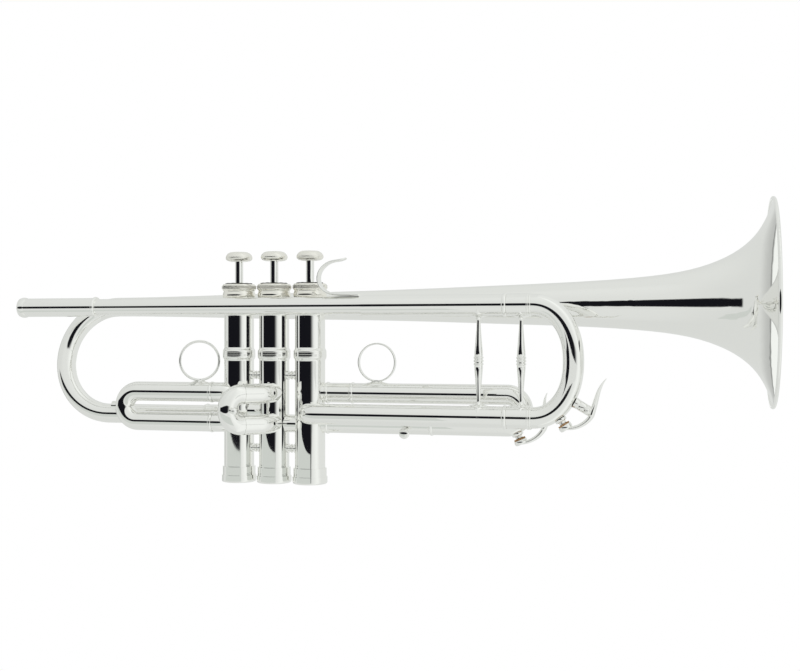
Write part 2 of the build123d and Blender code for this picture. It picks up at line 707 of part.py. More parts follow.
with BuildPart() as tuning_ferrules:
    for z in (0, return_z):
        add(rod((ferrule_start, 0, z), (ferrule_end, 0, z), ferrule_radius, main_tube_radius))
        for back in (0.8, 2.2):
            add(bead((ferrule_end - back, 0, z), (1, 0, 0), ferrule_radius, 1.2, 0.4))
        with Locations(Location((butt_x, 0, z), (0, 90, 0))):
            Cylinder(crook_radius, 20, align=low_end, mode=Mode.SUBTRACT)
tuning_ferrules.part.label = "tuning_ferrules"
export_step(tuning_ferrules.part, "parts/tuning_ferrules.step")

crook_route = [
    (butt_x, 0, 0),
    (crook_apex_x, 0, 0),
    (crook_apex_x, 0, return_z),
    (butt_x, 0, return_z),
]
main_nipple_angle = 34.0
main_bend_centre = (crook_corner_x, return_z + crook_bend)
with BuildPart() as tuning_crook:
    add(bent_tube(crook_route, crook_bend, crook_radius, crook_bore))
    add(drain(0, main_bend_centre, crook_bend, main_nipple_angle), mode=Mode.SUBTRACT)
tuning_crook.part.label = "tuning_crook"
export_step(tuning_crook.part, "parts/tuning_crook.step")

tuning_brace_x = ferrule_start + 8.2
with BuildPart() as tuning_brace:
    add(turned_post(tuning_brace_x, 0, return_z, 0, brace_neck, brace_belly))
    for z in (0, return_z):
        with Locations(Location((tuning_brace_x, 0, z), (0, 90, 0))):
            Cylinder(ferrule_radius, 12, mode=Mode.SUBTRACT)
    for z, up in ((0, -1), (return_z, 1)):
        add(diamond_saddle(tuning_brace_x, 0, z, up, ferrule_radius, 7.0, brace_foot_thickness))
tuning_brace.part.label = "tuning_brace"
export_step(tuning_brace.part, "parts/tuning_brace.step")

# ---- First valve slide: fixed inner tubes at the valve, moving outer tubes, crook and thumb ring -
first_tube_end = first_crook_x + 8
first_elbow_x = valve_x[0] - (valve_y - first_leg_y)
with BuildPart() as first_slide_stubs:
    for z in leg_z:
        knuckle_route = [
            (first_seam_x + seam_gap, first_leg_y, z),
            (first_elbow_x, first_leg_y, z),
            (valve_x[0], valve_y, z),
        ]
        add(bent_tube(knuckle_route, 9, leg_sleeve_radius, leg_bore))
        add(rod((first_tube_end, first_leg_y, z), knuckle_route[0], leg_tube_radius, leg_bore))
    with Locations((valve_x[0], valve_y, leg_mid_z)):
        Cylinder(casing_radius, 60, mode=Mode.SUBTRACT)
    add(bell_tail_ferrule.part, mode=Mode.SUBTRACT)
first_slide_stubs.part.label = "first_slide_stubs"
export_step(first_slide_stubs.part, "parts/first_slide_stubs.step")

with BuildPart() as first_slide_tubes:
    for z in leg_z:
        start = (first_crook_x + 4, first_leg_y, z)
        add(rod(start, (first_seam_x, first_leg_y, z), leg_sleeve_radius, leg_sleeve_bore))
        add(bead((first_seam_x - 1.2, first_leg_y, z), (1, 0, 0), leg_sleeve_radius, 2.0, 0.45))
first_slide_tubes.part.label = "first_slide_tubes"
export_step(first_slide_tubes.part, "parts/first_slide_tubes.step")

nub_radius = 2.9
nub_length = 2.4
with BuildPart() as first_slide_crook:
    centre = (first_crook_x, first_leg_y, leg_mid_z)
    add(bow(centre, (-1, 0, 0), (0, 0, 1), leg_bend, leg_sleeve_radius, leg_bore))
    for z in leg_z:
        start = (first_crook_x, first_leg_y, z)
        add(rod(start, (first_crook_x + 4, first_leg_y, z), leg_sleeve_radius, leg_bore))
    apex = first_crook_x - leg_bend - leg_sleeve_radius
    nub_root = apex + leg_sleeve_radius - leg_bore - 0.05
    add(rod((apex - nub_length, first_leg_y, leg_mid_z), (nub_root, first_leg_y, leg_mid_z), nub_radius))
first_slide_crook.part.label = "first_slide_crook"
export_step(first_slide_crook.part, "parts/first_slide_crook.step")

ring_x = first_seam_x - 10.1
ring_outer, ring_wall, ring_width = 13.5, 1.1, 5.5
ring_foot, ring_foot_length = 0.7, 14.0
ring_turn = 28.0
leg_top = leg_z[0] + leg_sleeve_radius
thumb_ring_z = leg_top + ring_outer + 0.4
with BuildPart() as first_thumb_ring:
    with Locations(Location((ring_x, first_leg_y, thumb_ring_z), (90, 0, ring_turn))):
        Cylinder(ring_outer, ring_width)
    with Locations(Location((ring_x, first_leg_y, leg_z[0]), (0, 90, 0))):
        Cylinder(leg_sleeve_radius + ring_foot, ring_foot_length)
    with Locations((ring_x, first_leg_y, leg_top + 14)):
        Box(60, 9, 32, mode=Mode.INTERSECT)
    with Locations(Location((ring_x, first_leg_y, thumb_ring_z), (90, 0, ring_turn))):
        Cylinder(ring_outer - ring_wall, 40, mode=Mode.SUBTRACT)
    with Locations(Location((ring_x, first_leg_y, leg_z[0]), (0, 90, 0))):
        Cylinder(leg_sleeve_radius, 40, mode=Mode.SUBTRACT)
first_thumb_ring.part.label = "first_thumb_ring"
export_step(first_thumb_ring.part, "parts/first_thumb_ring.step")

# ---- Second valve slide: elbows out of the valve, moving inner tubes and crook -------------------
second_out = Vector(cos(radians(second_heading)), sin(radians(second_heading)), 0)
second_corner = Vector(second_leg_x, second_corner_y, 0)
second_seam = second_corner + second_out * second_sleeve_length
with BuildPart() as second_slide_sleeves:
    for z in leg_z:
        lift = Vector(0, 0, z)
        route = [(second_leg_x, valve_y - 4, z), tuple(second_corner + lift), tuple(second_seam + lift)]
        add(bent_tube(route, 10.5, leg_sleeve_radius, leg_sleeve_bore))
    with Locations((valve_x[1], valve_y, leg_mid_z)):
        Cylinder(casing_radius, 60, mode=Mode.SUBTRACT)
    add(casing_links.part, mode=Mode.SUBTRACT)
second_slide_sleeves.part.label = "second_slide_sleeves"
export_step(second_slide_sleeves.part, "parts/second_slide_sleeves.step")

second_tube_length = 11.0
crook_face = second_seam + second_out * seam_gap
with BuildPart() as second_slide_tubes:
    for z in leg_z:
        lift = Vector(0, 0, z)
        tail = second_seam - second_out * second_tube_length
        add(rod(tail + lift, crook_face + lift, leg_tube_radius, leg_bore))
second_slide_tubes.part.label = "second_slide_tubes"
export_step(second_slide_tubes.part, "parts/second_slide_tubes.step")

knob_reach = 9.6
knob_radius = 2.2
second_side = Vector(-second_out.Y, second_out.X, 0)
second_apex = crook_face + second_out * leg_bend + Vector(0, 0, leg_mid_z)
knob_centre = second_apex + second_side * knob_reach
with BuildPart() as second_slide_crook:
    centre = crook_face + Vector(0, 0, leg_mid_z)
    add(bow(centre, tuple(second_out), (0, 0, 1), leg_bend, leg_sleeve_radius, leg_bore))
    add(rod(second_apex + second_side * (leg_sleeve_radius - 0.5), knob_centre, 1.2))
    with Locations(knob_centre):
        Sphere(knob_radius)
second_slide_crook.part.label = "second_slide_crook"
export_step(second_slide_crook.part, "parts/second_slide_crook.step")

# ---- Third valve slide: fixed inner tubes and collars, moving outer tubes, crook, finger ring -----
third_tube_end = (third_crook_x - 26, third_crook_x - 10)
with BuildPart() as third_slide_stubs:
    for z, seam, tube_end in zip(leg_z, third_seam_x, third_tube_end):
        collar_end = (seam, third_leg_y, z)
        add(rod((valve_x[2], third_leg_y, z), collar_end, leg_sleeve_radius, leg_bore))
        add(rod(collar_end, (tube_end, third_leg_y, z), leg_tube_radius, leg_bore))
        wall_x = valve_x[2] + casing_radius
        add(bead((wall_x + 2.0, third_leg_y, z), (1, 0, 0), leg_sleeve_radius, 2.2, 0.6))
    with Locations((valve_x[2], valve_y, leg_mid_z)):
        Cylinder(casing_radius, 60, mode=Mode.SUBTRACT)
    add(return_pipe.part, mode=Mode.SUBTRACT)
third_slide_stubs.part.label = "third_slide_stubs"
export_step(third_slide_stubs.part, "parts/third_slide_stubs.step")

third_joint_x = third_crook_x - 7
with BuildPart() as third_slide_tubes:
    for z, seam in zip(leg_z, third_seam_x):
        start = (seam + seam_gap, third_leg_y, z)
        add(rod(start, (third_joint_x, third_leg_y, z), leg_sleeve_radius, leg_sleeve_bore))
        add(bead((seam + seam_gap + 1.3, third_leg_y, z), (1, 0, 0), leg_sleeve_radius, 2.2, 0.5))
third_slide_tubes.part.label = "third_slide_tubes"
export_step(third_slide_tubes.part, "parts/third_slide_tubes.step")

third_nipple_angle = 24.0
third_bend_centre = (third_crook_x, leg_mid_z)
with BuildPart() as third_slide_crook:
    centre = (third_crook_x, third_leg_y, leg_mid_z)
    add(bow(centre, (1, 0, 0), (0, 0, 1), leg_bend, leg_sleeve_radius, leg_bore))
    for z in leg_z:
        start = (third_joint_x, third_leg_y, z)
        add(rod(start, (third_crook_x, third_leg_y, z), leg_sleeve_radius, leg_bore))
    add(drain(third_leg_y, third_bend_centre, leg_bend, third_nipple_angle), mode=Mode.SUBTRACT)
third_slide_crook.part.label = "third_slide_crook"
export_step(third_slide_crook.part, "parts/third_slide_crook.step")

finger_ring_x = third_seam_x[0] + 17.4
finger_ring_outer, finger_ring_wall, finger_ring_width = 12.3, 0.9, 4.0
finger_ring_z = leg_top + finger_ring_outer + 0.9
with BuildPart() as third_finger_ring:
    with Locations(Location((finger_ring_x, third_leg_y, finger_ring_z), (90, 0, 0))):
        Cylinder(finger_ring_outer, finger_ring_width)
    with Locations((finger_ring_x, third_leg_y, leg_z[0])):
        Box(8.5, finger_ring_width, leg_sleeve_radius + 3.2, align=low_end)
    with BuildSketch(Plane.XY.offset(leg_z[0])):
        with Locations((finger_ring_x, third_leg_y)):
            Ellipse(9.2, 5.2)
    extrude(amount=leg_sleeve_radius + 0.4)
    with Locations(Location((finger_ring_x, third_leg_y, finger_ring_z), (90, 0, 0))):
        Cylinder(finger_ring_outer - finger_ring_wall, 40, mode=Mode.SUBTRACT)
    with Locations(Location((finger_ring_x, third_leg_y, leg_z[0]), (0, 90, 0))):
        Cylinder(leg_sleeve_radius, 60, mode=Mode.SUBTRACT)
    with Locations((finger_ring_x, third_leg_y, leg_z[0])):
        Box(60, 60, 2 * 3.2, mode=Mode.SUBTRACT)
third_finger_ring.part.label = "third_finger_ring"
export_step(third_finger_ring.part, "parts/third_finger_ring.step")

# ---- Stop screw on the third slide's lower collar ------------------------------------------------
stop_x = third_seam_x[1] - 14.0
stop_z = leg_z[1] - 5.0
stop_screw_radius = 1.6
stop_head_radius = 3.4
stop_head = (2.0, 4.6)               # from the head's inner face to its outer face, off the collar
with BuildPart() as third_stop_screw:
    side = third_leg_y - leg_sleeve_radius
    head_faces = [(stop_x, side - reach, stop_z) for reach in stop_head]
    add(rod((stop_x, third_leg_y, stop_z), head_faces[0], stop_screw_radius))
    add(rod(*head_faces, stop_head_radius))
    with Locations(Location((stop_x, third_leg_y, leg_z[1]), (0, 90, 0))):
        Cylinder(leg_sleeve_radius, 40, mode=Mode.SUBTRACT)
third_stop_screw.part.label = "third_stop_screw"
export_step(third_stop_screw.part, "parts/third_stop_screw.step")

# ---- Water keys: nipple and saddle on the crook, lever with its cork cup, and the cork -----------
nipple_height = 2.6
cork_thickness = 2.4
cork_radius = 3.6
barrel_length = 6.0
key_pin_radius = 1.0
key_barrel_radius = 2.1
lug_thickness = 1.3
key_fit = 0.05


def water_key(name, y, bend_centre, bend, tube_radius, nipple_angle, pivot, elbow_point, tip, lever_width):
    """Writes a key's saddle, lever and cork. Angles run from -Z towards +X round the bend."""
    out = Vector(sin(radians(nipple_angle)), 0, -cos(radians(nipple_angle)))
    middle = Vector(bend_centre[0], y, bend_centre[1])
    surface = middle + out * (bend + tube_radius)
    hinge = Vector(pivot[0], y, pivot[1])
    inward = (middle - hinge).normalized()
    cork_face = surface + out * nipple_height
    cup_face = cork_face + out * cork_thickness
    cup_back = cup_face + out * 1.3
    cheek = barrel_length / 2 + seam_gap + lug_thickness / 2
    fork_back = hinge + inward * (key_barrel_radius + 0.8)
    lug_plane = Plane(origin=hinge, x_dir=inward, z_dir=(0, 1, 0))

    with BuildPart() as saddle:
        add(rod(surface - out * 2.0, surface + out * nipple_height, 2.3))
        add(rod(surface - out * 2.0, surface + out * 0.8, 3.6))
        add(rod(fork_back, hinge + inward * ((hinge - middle).length - bend), 2.2))
        with BuildSketch(lug_plane.offset(-barrel_length / 2 - seam_gap - lug_thickness)):
            with Locations((key_barrel_radius + 1.5, 0)):
                Rectangle(1.6, 4.4)
        extrude(amount=barrel_length + 2 * seam_gap + 2 * lug_thickness)
        for side in (-1, 1):
            with BuildSketch(lug_plane.offset(side * cheek - lug_thickness / 2)):
                Circle(2.2)
                with Locations((1.6, 0)):
                    Rectangle(3.2, 4.4)
            extrude(amount=lug_thickness)
        add(rod(hinge - Vector(0, cheek + 1.2, 0), hinge + Vector(0, cheek + 1.2, 0), key_pin_radius))
        with Locations(Plane(origin=middle, z_dir=(0, 1, 0)).location):
            Torus(bend, tube_radius, mode=Mode.SUBTRACT)
        add(drain(y, bend_centre, bend, nipple_angle), mode=Mode.SUBTRACT)
    saddle.part.label = f"{name}_saddle"
    export_step(saddle.part, f"parts/{name}_saddle.step")

    with BuildPart() as lever:
        with BuildSketch(side_plane((0, y, 0))):
            with BuildLine():
                start = (cup_back.X, cup_back.Z)
                FilletPolyline(start, elbow_point, (pivot[0] + 1.4, pivot[1]), tip, radius=3.0)
            trace(line_width=1.5)
        extrude(amount=lever_width / 2, both=True)
        add(rod(cork_face + out * 0.9, cup_back + out * 0.4, cork_radius + 0.5))
        add(rod(cork_face, cup_face, cork_radius), mode=Mode.SUBTRACT)
        half_barrel = Vector(0, barrel_length / 2, 0)
        add(rod(hinge - half_barrel, hinge + half_barrel, key_barrel_radius))
        pin_bore = rod(hinge - half_barrel * 2, hinge + half_barrel * 2, key_pin_radius + key_fit)
        add(pin_bore, mode=Mode.SUBTRACT)
    lever.part.label = f"{name}_lever"
    export_step(lever.part, f"parts/{name}_lever.step")

    with BuildPart() as cork:
        add(rod(cork_face, cup_face, cork_radius))
    cork.part.label = f"{name}_cork"
    export_step(cork.part, f"parts/{name}_cork.step")


main_key_x = crook_apex_x + crook_radius
third_key_x = third_crook_x + leg_bend + leg_sleeve_radius
water_key(
    "main_water_key",
    0.0,
    main_bend_centre,
    crook_bend,
    crook_radius,
    main_nipple_angle,
    (main_key_x + 2.2, return_z + 5.0),
    (main_key_x - 0.9, return_z - 3.6),
    (main_key_x + 12.8, return_z + 23.6),
    4.4,
)
water_key(
    "third_water_key",
    third_leg_y,
    third_bend_centre,
    leg_bend,
    leg_sleeve_radius,
    third_nipple_angle,
    (third_key_x + 4.65, leg_z[1] + 3.7),
    (third_key_x + 3.55, leg_z[1] - 5.7),
    (third_key_x + 8.45, leg_z[1] + 20.9),
    4.0,
)
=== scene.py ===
import bpy
import bmesh
import json
from math import cos, pi, radians, sin, sqrt
from mathutils import Matrix, Vector


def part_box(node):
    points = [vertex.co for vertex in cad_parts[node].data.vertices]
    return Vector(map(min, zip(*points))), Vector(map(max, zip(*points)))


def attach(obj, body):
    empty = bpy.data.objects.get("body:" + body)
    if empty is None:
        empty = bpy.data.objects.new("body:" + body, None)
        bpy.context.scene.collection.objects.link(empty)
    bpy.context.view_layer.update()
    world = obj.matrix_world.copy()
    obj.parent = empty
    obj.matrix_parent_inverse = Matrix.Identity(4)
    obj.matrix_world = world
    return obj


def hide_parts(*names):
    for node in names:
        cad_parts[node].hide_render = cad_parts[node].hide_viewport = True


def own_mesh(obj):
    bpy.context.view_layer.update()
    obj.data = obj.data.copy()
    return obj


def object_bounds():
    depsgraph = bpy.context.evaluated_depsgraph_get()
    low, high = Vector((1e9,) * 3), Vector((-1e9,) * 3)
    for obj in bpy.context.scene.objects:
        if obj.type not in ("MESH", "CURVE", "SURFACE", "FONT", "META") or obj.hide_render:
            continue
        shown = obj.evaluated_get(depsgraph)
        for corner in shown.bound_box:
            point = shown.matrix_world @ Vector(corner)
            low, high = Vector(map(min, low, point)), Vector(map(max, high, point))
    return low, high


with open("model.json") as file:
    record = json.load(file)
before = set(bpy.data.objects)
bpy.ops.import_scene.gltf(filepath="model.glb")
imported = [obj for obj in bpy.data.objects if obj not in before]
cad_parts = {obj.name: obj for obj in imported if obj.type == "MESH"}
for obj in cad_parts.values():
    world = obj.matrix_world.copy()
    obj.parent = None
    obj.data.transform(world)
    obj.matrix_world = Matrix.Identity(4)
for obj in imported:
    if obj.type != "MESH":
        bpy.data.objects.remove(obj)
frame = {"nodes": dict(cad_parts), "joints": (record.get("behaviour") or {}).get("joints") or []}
cad_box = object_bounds()
millimetre = 0.001


# ---- Camera and studio --------------------------------------------------------------------------
# The instrument hangs level in a pale tent with a white sweep behind it. One long dark opening in
# front, where the camera looks in, draws the fine black line along every polished tube.
class Wire:
    """A node's output. Used in an expression, it adds its Math nodes by itself."""

    def __init__(self, tree, socket=None):
        self.tree, self.socket = tree, socket

    def node(self, kind, settings=None, inputs=None, output=0):
        made = self.tree.nodes.new(kind)
        for key, value in (settings or {}).items():
            if key == "stops":
                ramp = made.color_ramp
                while len(ramp.elements) < len(value):
                    ramp.elements.new(1.0)
                for element, (place, colour) in zip(ramp.elements, value):
                    element.position, element.color = place, colour
            else:
                setattr(made, key, value)
        for key, value in (inputs or {}).items():
            if isinstance(value, Wire):
                self.tree.links.new(value.socket, made.inputs[key])
            else:
                made.inputs[key].default_value = value
        return Wire(self.tree, made.outputs[output])

    def math(self, operation, *values):
        return self.node("ShaderNodeMath", {"operation": operation}, dict(enumerate(values)))

    def __add__(self, other):
        return self.math("ADD", self, other)

    def __radd__(self, other):
        return self.math("ADD", other, self)

    def __sub__(self, other):
        return self.math("SUBTRACT", self, other)

    def __rsub__(self, other):
        return self.math("SUBTRACT", other, self)

    def __mul__(self, other):
        return self.math("MULTIPLY", self, other)

    def __rmul__(self, other):
        return self.math("MULTIPLY", other, self)

    def __truediv__(self, other):
        return self.math("DIVIDE", self, other)

    def ramp(self, low, high, bottom=0.0, top=1.0):
        """Runs smoothly from bottom to top as this value goes from low to high."""
        return self.node(
            "ShaderNodeMapRange",
            {"interpolation_type": "SMOOTHSTEP"},
            {"Value": self, "From Min": low, "From Max": high, "To Min": bottom, "To Max": top},
        )


scene = bpy.context.scene
scene.view_settings.view_transform = "Standard"

eye_turn = radians(14.0)             # from square-on, towards the bell
eye_distance = 0.705
eye_target = Vector((0.2605, 0.0, -0.0185))
lens_share = 1150 / 800              # focal length as a share of the frame's width
eye = bpy.data.cameras.new("eye")
eye.sensor_width = 36.0
eye.lens = 36.0 * lens_share
eye.clip_start = 0.01
camera = bpy.data.objects.new("eye", eye)
camera.location = eye_target + eye_distance * Vector((sin(eye_turn), -cos(eye_turn), 0))
camera.rotation_euler = (radians(90), 0, eye_turn)
scene.collection.objects.link(camera)
scene.camera = camera

tent = bpy.data.worlds.new("tent")
scene.world = tent
tent.use_nodes = True
tent.node_tree.nodes.clear()
sky = Wire(tent.node_tree)
way = sky.node("ShaderNodeTexCoord", output="Generated")
east, back, up = (sky.node("ShaderNodeSeparateXYZ", inputs={0: way}, output=i) for i in range(3))
turn = sky.math("ARCTAN2", east, 0 - back) * (180 / pi)     # 0 in front, 90 towards the bell
rise = sky.math("ARCSINE", up) * (180 / pi)
slot_height = turn.ramp(-75, -15, 6.0, 12.0) * turn.ramp(0, 46, 1.0, 0.3)
slot_edge = sky.math("ABSOLUTE", rise) - slot_height
slot = slot_edge.ramp(-1.5, 1.5, 1.0, 0.0) * turn.ramp(-71, -68) * turn.ramp(20, 50, 1.0, 0.0)
lean = east / sky.math("SQRT", 2.0 - 2.0 * back)            # -1 seen in a face turned to the left
paper = turn.ramp(-60, 0, 0.73, 0.78) + turn.ramp(25, 78, 0.0, 0.18) * turn.ramp(62, 104, 1.0, 0.0)
paper = paper + rise.ramp(20, 70, 0.0, 0.05) - lean.ramp(-0.875, -0.74, 0.20, 0.0)
sweep = lean.ramp(-0.886, -0.876, 1.0, 0.0)
seam = lean.ramp(-0.890, -0.881) * lean.ramp(-0.877, -0.868, 1.0, 0.0)
light = paper * (1 - 0.99 * slot) * (1 - sweep) + 0.95 * sweep
light = light * (1 - 0.5 * seam)
blue = light * 0.975 + 0.003 * slot
cool = sky.node("ShaderNodeCombineColor", inputs={0: light * 0.98, 1: light, 2: blue})
seen = sky.node("ShaderNodeLightPath", output="Is Camera Ray")
inside = sky.node("ShaderNodeBackground", inputs={"Color": cool})
plain = sky.node("ShaderNodeBackground", inputs={"Color": (1, 1, 1, 1)})
shown = sky.node("ShaderNodeMixShader", inputs={0: seen, 1: inside, 2: plain})
sky_end = tent.node_tree.nodes.new("ShaderNodeOutputWorld")
tent.node_tree.links.new(shown.socket, sky_end.inputs[0])


def board(name, corners, colour):
    """A flat glowing board of the studio, one-sided and never part of the instrument."""
    mesh = bpy.data.meshes.new(name)
    mesh.from_pydata(corners, [], [tuple(range(len(corners)))])
    made = bpy.data.objects.new(name, mesh)
    scene.collection.objects.link(made)
    paint = bpy.data.materials.new(name)
    paint.use_nodes = True
    paint.node_tree.nodes.clear()
    tree = Wire(paint.node_tree)
    glow = tree.node("ShaderNodeEmission", inputs={"Color": (*colour, 1)})
    under = tree.node("ShaderNodeNewGeometry", output="Backfacing")
    clear = tree.node("ShaderNodeBsdfTransparent")
    both = tree.node("ShaderNodeMixShader", inputs={0: under, 1: glow, 2: clear})
    end = paint.node_tree.nodes.new("ShaderNodeOutputMaterial")
    paint.node_tree.links.new(both.socket, end.inputs[0])
    mesh.materials.append(paint)
    return made


def upright(y, corners):
    """Corners of a board that stands square-on at y, from its (x, z) pairs."""
    return [(x, y, z) for x, z in corners]


floor_gap, floor_reach = 0.002, 15.0
floor_z = cad_box[0][2] - floor_gap
floor_signs = ((-1, -1), (1, -1), (1, 1), (-1, 1))
floor_corners = [(x * floor_reach, y * floor_reach, floor_z) for x, y in floor_signs]
floor = board("floor", floor_corners, (1.0, 1.0, 1.0))
floor.visible_glossy = floor.visible_diffuse = floor.visible_shadow = False

# Two paper boards stand in front, out of the camera's sight. They hide part of the dark opening from
# the lower tubes and from the bow.
low_board_corners = [(-0.7, -0.20), (-0.7, -0.066), (0.255, -0.1096), (0.255, -0.20)]
bow_board_corners = [(0.30, -0.046), (0.30, -0.024), (0.46, -0.042), (0.46, -0.070)]
low_board = board("low_board", upright(-0.134, low_board_corners), (0.62, 0.65, 0.62))
bow_board = board("bow_board", upright(-0.1, bow_board_corners), (0.735, 0.75, 0.73))
for hidden in (low_board, bow_board):
    hidden.visible_camera = hidden.visible_diffuse = hidden.visible_shadow = False

# ---- Silver plate -------------------------------------------------------------------------------
# Bright silver plate over brass on every tube, casing, cap and brace, hand-buffed: it mirrors the
# room with a hair of softness and a very slight waviness.
silver_colour = (0.945, 0.945, 0.925, 1)


def metal(name, colour, roughness, waviness=0.0):
    """A polished metal whose surface wanders a little, as buffing leaves it."""
    made = bpy.data.materials.new(name)
    made.use_nodes = True
    tree = made.node_tree
    shader = tree.nodes["Principled BSDF"]
    shader.inputs["Base Color"].default_value = colour
    shader.inputs["Metallic"].default_value = 1.0
    wire = Wire(tree)
    place = wire.node("ShaderNodeTexCoord", output="Object")
    haze = wire.node("ShaderNodeTexNoise", inputs={"Vector": place, "Scale": 55.0, "Detail": 3.0})
    rough = haze.ramp(0.3, 0.8, roughness * 0.6, roughness * 1.6)
    tree.links.new(rough.socket, shader.inputs["Roughness"])
    if waviness:
        swell = wire.node("ShaderNodeTexNoise", inputs={"Vector": place, "Scale": 90.0, "Detail": 1.0})
        bump = wire.node(
            "ShaderNodeBump",
            inputs={"Height": swell, "Strength": 0.25, "Distance": waviness * millimetre},
        )
        tree.links.new(bump.socket, shader.inputs["Normal"])
    return made


def coat(node_names, material):
    """Gives CAD nodes their material."""
    for node_name in node_names:
        slots = frame["nodes"][node_name].data.materials
        slots.clear()
        slots.append(material)


silver = metal("silver_plate", silver_colour, 0.045, 0.05)
coat(frame["nodes"], silver)


def skin(name, rings, loop=False, crease=40.0):
    """A mesh through rings of points, closed at its ends, or round to the first ring in a loop."""
    count = len(rings[0])
    points = [tuple(point) for ring in rings for point in ring]
    faces = []
    for i in range(len(rings) if loop else len(rings) - 1):
        k = (i + 1) % len(rings)
        for j in range(count):
            m = (j + 1) % count
            faces.append((i * count + j, i * count + m, k * count + m, k * count + j))
    if not loop:
        faces.append(tuple(range(count - 1, -1, -1)))
        faces.append(tuple((len(rings) - 1) * count + j for j in range(count)))
    mesh = bpy.data.meshes.new(name)
    mesh.from_pydata(points, [], faces)
    work = bmesh.new()
    work.from_mesh(mesh)
    bmesh.ops.remove_doubles(work, verts=work.verts, dist=1e-7)
    bmesh.ops.recalc_face_normals(work, faces=work.faces)
    work.to_mesh(mesh)
    work.free()
    mesh.shade_smooth()
    mesh.set_sharp_from_angle(angle=radians(crease))
    made = bpy.data.objects.new(name, mesh)
    scene.collection.objects.link(made)
    return made


def finish_piece(made, material, body, nodes):
    """Gives a finished piece its material and its body, and hides the CAD nodes that it stands for."""
    made.data.materials.clear()
    made.data.materials.append(material)
    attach(made, body)
    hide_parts(*nodes)


def centre_of(node):
    """The middle of a CAD node's box."""
    low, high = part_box(node)
    return (low + high) / 2


def lathe(name, origin, axis, profile, segments=96, crease=40.0):
    """A turned piece: a closed outline of (along, radius) in millimetres swung about an axis."""
    axis = Vector(axis).normalized()
    side = axis.orthogonal().normalized()
    other = axis.cross(side)
    rings = []
    for step in range(segments):
        angle = 2 * pi * step / segments
        out = side * cos(angle) + other * sin(angle)
        rings.append([origin + (axis * a + out * r) * millimetre for a, r in profile])
    return skin(name, rings, loop=True, crease=crease)


def smooth_route(controls, count):
    """Points evenly along a smooth NURBS line through control points given in metres."""
    data = bpy.data.curves.new("route", "CURVE")
    data.dimensions = "3D"
    data.resolution_u = 64
    line = data.splines.new("NURBS")
    line.points.add(len(controls) - 1)
    for spot, control in zip(line.points, controls):
        spot.co = (*control, 1.0)
    line.order_u = 4
    line.use_endpoint_u = True
    holder = bpy.data.objects.new("route", data)
    scene.collection.objects.link(holder)
    bpy.context.view_layer.update()
    flat = bpy.data.meshes.new_from_object(holder.evaluated_get(bpy.context.evaluated_depsgraph_get()))
    raw = [vertex.co.copy() for vertex in flat.vertices]
    bpy.data.meshes.remove(flat)
    bpy.data.objects.remove(holder)
    bpy.data.curves.remove(data)
    lengths = [0.0]
    for a, b in zip(raw, raw[1:]):
        lengths.append(lengths[-1] + (b - a).length)
    points = []
    at = 0
    for step in range(count):
        goal = lengths[-1] * step / (count - 1)
        while at < len(lengths) - 2 and lengths[at + 1] < goal:
            at += 1
        share = (goal - lengths[at]) / max(lengths[at + 1] - lengths[at], 1e-12)
        points.append(raw[at].lerp(raw[at + 1], min(max(share, 0.0), 1.0)))
    return points


def along_route(name, points, across, outline, loop=False, crease=40.0):
    """Sweeps a section along points. across is the section's fixed sideways direction; outline(t)
    gives the section's (sideways, outward) points in metres at a share t of the way."""
    across = Vector(across).normalized()
    rings = []
    count = len(points)
    for step, point in enumerate(points):
        if loop:
            run = points[(step + 1) % count] - points[step - 1]
        else:
            run = points[min(step + 1, count - 1)] - points[max(step - 1, 0)]
        outward = run.normalized().cross(across).normalized()
        rings.append([point + across * a + outward * b for a, b in outline(step / (count - 1))])
    return skin(name, rings, loop=loop, crease=crease)


def oval(width, thickness, steps=28):
    """The outline of a strip with a soft, lens-like section, in metres."""
    points = []
    for step in range(steps):
        angle = 2 * pi * step / steps
        c, s = cos(angle), sin(angle)
        x = width / 2 * (abs(c) ** 0.75) * (1 if c >= 0 else -1)
        y = thickness / 2 * (abs(s) ** 0.85) * (1 if s >= 0 else -1)
        points.append((x, y))
    return points


# ---- Pinky hook ---------------------------------------------------------------------------------
# A strip of nickel silver bent into an open hook, its edges rounded over, soldered to the leadpipe
# on a short saddle that follows the tube.
hook_low, hook_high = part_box("pinky_hook")
hook_width = (hook_high.y - hook_low.y) * 0.98
hook_thickness = 1.5 * millimetre
hook_left = hook_low.x + hook_thickness / 2
hook_foot_z = 6.9 * millimetre
hook_route = smooth_route(
    [                                # from the tip of the saddle, round the back, to the open end
        (hook_high.x - 0.0015, 0, hook_foot_z - 0.0003),
        (hook_high.x - 0.0080, 0, hook_foot_z),
        (hook_left + 0.0120, 0, hook_foot_z - 0.0002),
        (hook_left + 0.0030, 0, hook_foot_z + 0.0010),
        (hook_left - 0.0022, 0, hook_foot_z + 0.0085),
        (hook_left + 0.0000, 0, hook_foot_z + 0.0165),
        (hook_left + 0.0075, 0, hook_foot_z + 0.0215),
        (hook_left + 0.0130, 0, hook_high.z - 0.0022),
        (hook_high.x - 0.0098, 0, hook_high.z - 0.0007),
    ],
    90,
)


def hook_section(t):
    """The strip's outline at a share t of its length, thin at its heel and rounded at its tip."""
    slim = 1.0 if t < 0.9 else sqrt(max(0.02, 1 - ((t - 0.9) / 0.1) ** 2 * 0.93))
    heel = 0.45 + 0.55 * min(1.0, t / 0.10)
    return oval(hook_width * slim * (0.75 + 0.25 * heel), hook_thickness * (0.55 + 0.45 * slim) * heel)


hook = along_route("pinky_hook_strip", hook_route, (0, 1, 0), hook_section)
finish_piece(hook, silver, "horn", ["pinky_hook"])

